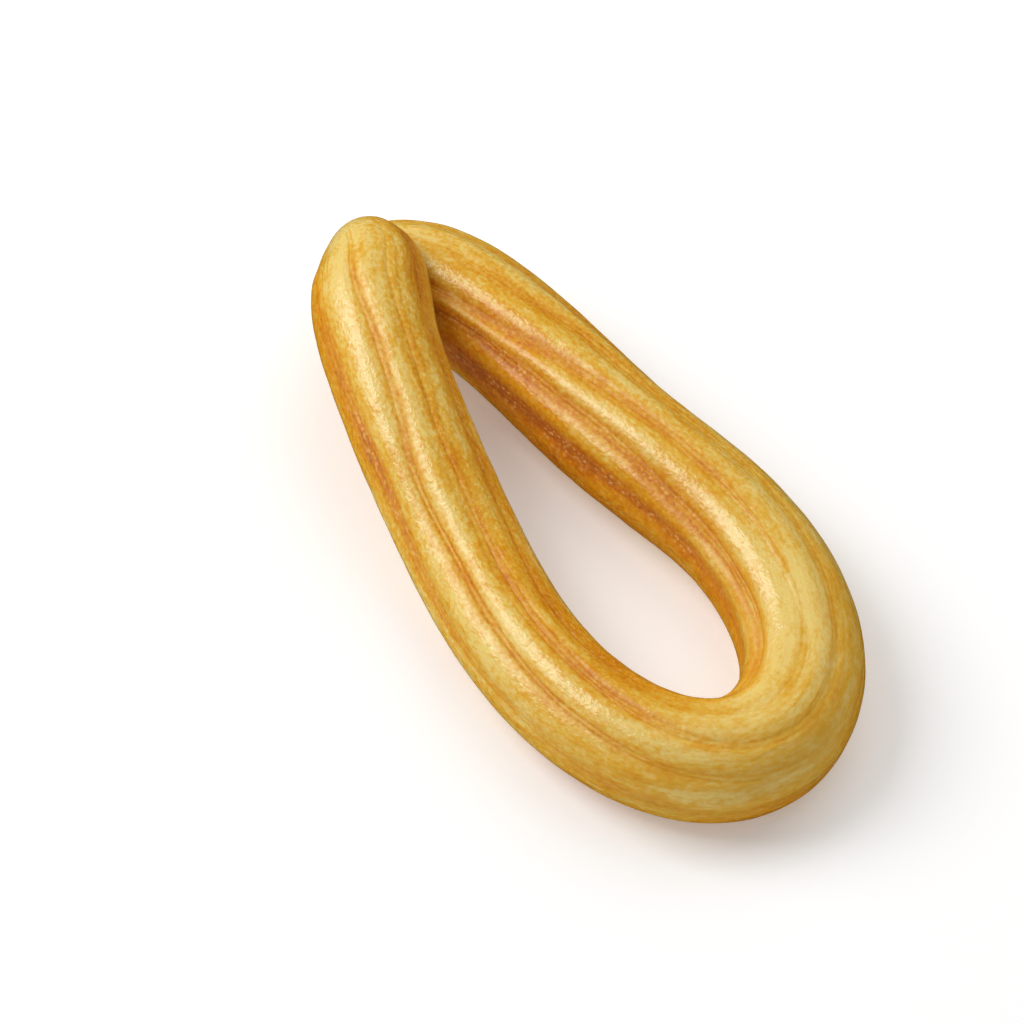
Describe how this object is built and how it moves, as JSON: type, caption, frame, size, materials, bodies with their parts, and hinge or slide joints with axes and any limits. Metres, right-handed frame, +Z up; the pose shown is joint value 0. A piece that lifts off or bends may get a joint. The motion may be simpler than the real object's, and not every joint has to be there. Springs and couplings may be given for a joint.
{
  "type": "churro",
  "caption": "Fried loop churro: a ridged rope of dough, piped through a star nozzle and bent into a teardrop, with one tip laid over the other.",
  "frame": {"origin": "on the surface that the churro rests on, under the middle of its bounding box", "axes": "+Z up; +Y along the teardrop from its round bend to its crossed tips; +X across it, towards the limb whose tip lies underneath"},
  "size_m": [0.0512, 0.1144, 0.0247],
  "materials": {
    "crust": "fried golden crust, slightly oily: pale yellow ridges, orange-brown grooves"
  },
  "bodies": {
    "root": {"churro": "crust"}
  },
  "joints": []
}
